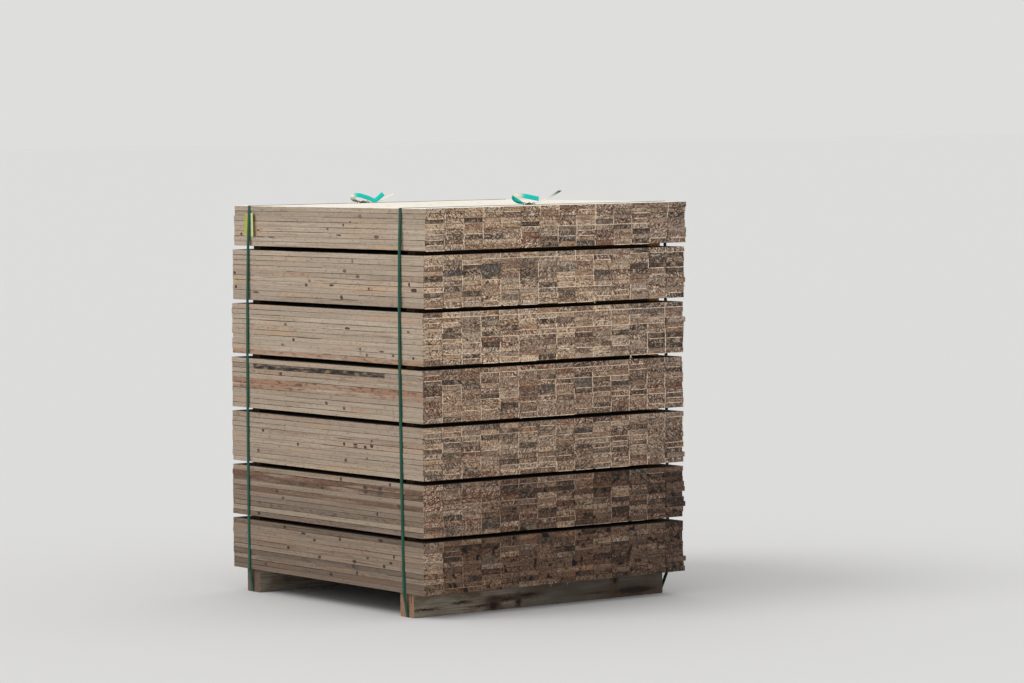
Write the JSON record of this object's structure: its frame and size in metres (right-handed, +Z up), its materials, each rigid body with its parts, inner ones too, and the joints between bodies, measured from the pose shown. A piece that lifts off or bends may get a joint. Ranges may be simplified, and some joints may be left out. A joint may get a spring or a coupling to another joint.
{
  "type": "stack of pallet boards",
  "caption": "Strapped pack of sawn softwood pallet boards in tiers with air gaps, on two timber bearers, with buckled plastic straps and a blank tag.",
  "frame": {"origin": "middle of the pack's footprint, on the ground under the bearers", "axes": "+Z up, Y along the boards, X across the pack; the face of board ends at -Y is the one the picture shows"},
  "size_m": [1.1314, 1.212, 1.4195],
  "materials": {
    "boards": "rough sawn, weathered",
    "laths": "rough sawn",
    "bearers": "rough sawn, weathered",
    "straps": "embossed, slightly glossy",
    "buckles": "dark phosphated wire",
    "tag": "matte, blank"
  },
  "bodies": {
    "root": {"tier_1_boards": "boards", "tier_2_boards": "boards", "tier_3_boards": "boards", "tier_4_boards": "boards", "tier_5_boards": "boards", "tier_6_boards": "boards", "tier_7_boards": "boards", "spacer_1_front": "laths", "spacer_1_rear": "laths", "spacer_2_front": "laths", "spacer_2_rear": "laths", "spacer_3_front": "laths", "spacer_3_rear": "laths", "spacer_4_front": "laths", "spacer_4_rear": "laths", "spacer_5_front": "laths", "spacer_5_rear": "laths", "spacer_6_front": "laths", "spacer_6_rear": "laths", "bearer_front": "bearers", "bearer_rear": "bearers", "strap_front": "straps", "strap_rear": "straps", "buckle_front": "buckles", "buckle_rear": "buckles", "tag": "tag"}
  },
  "joints": []
}
